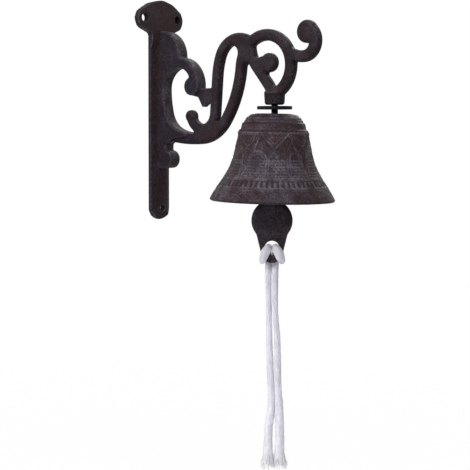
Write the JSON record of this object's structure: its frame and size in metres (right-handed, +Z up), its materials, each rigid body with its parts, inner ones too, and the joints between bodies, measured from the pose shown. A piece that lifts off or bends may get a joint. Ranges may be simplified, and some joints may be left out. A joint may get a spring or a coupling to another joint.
{
  "type": "wall doorbell",
  "caption": "Wall-mounted cast-iron bell on a scroll bracket, rung by a clapper with a doubled cotton pull cord.",
  "frame": {"origin": "on the wall plane, midway between the two upper screw holes", "axes": "+X away from the wall along the arm, +Y sideways, +Z up"},
  "size_m": [0.1365, 0.0749, 0.2867],
  "materials": {
    "bracket_iron": "brown, satin, fine sand-cast grain",
    "bell_iron": "brown, satin, fine sand-cast grain",
    "dark_steel": "black, satin",
    "cotton": "loosely twisted, off-white"
  },
  "bodies": {
    "bracket": {"wall_bracket": "bracket_iron", "hanger_bolt": "dark_steel", "top_washer": "dark_steel", "inner_washer": "dark_steel", "crown_nut": "dark_steel"},
    "bell": {"bell": "bell_iron"},
    "link": {"clapper_link": "dark_steel"},
    "clapper": {"clapper": "bell_iron", "pull_cord_left": "cotton", "pull_cord_right": "cotton"}
  },
  "joints": [
    {"name": "bell_spin", "type": "hinge", "parent": "bracket", "child": "bell", "pos_m": [0.09962, -0.00032, -0.0661], "axis": [0.0134, 0.0112, 0.9998], "continuous": true},
    {"name": "link_swing", "type": "hinge", "parent": "bracket", "child": "link", "pos_m": [0.09885, -0.00096, -0.08275], "axis": [0.766, 0.6428, 0], "range_deg": [-26, 26]},
    {"name": "clapper_swing", "type": "hinge", "parent": "link", "child": "clapper", "pos_m": [0.09885, -0.00096, -0.09055], "axis": [0.6428, -0.766, 0], "range_deg": [-26, 26]}
  ]
}
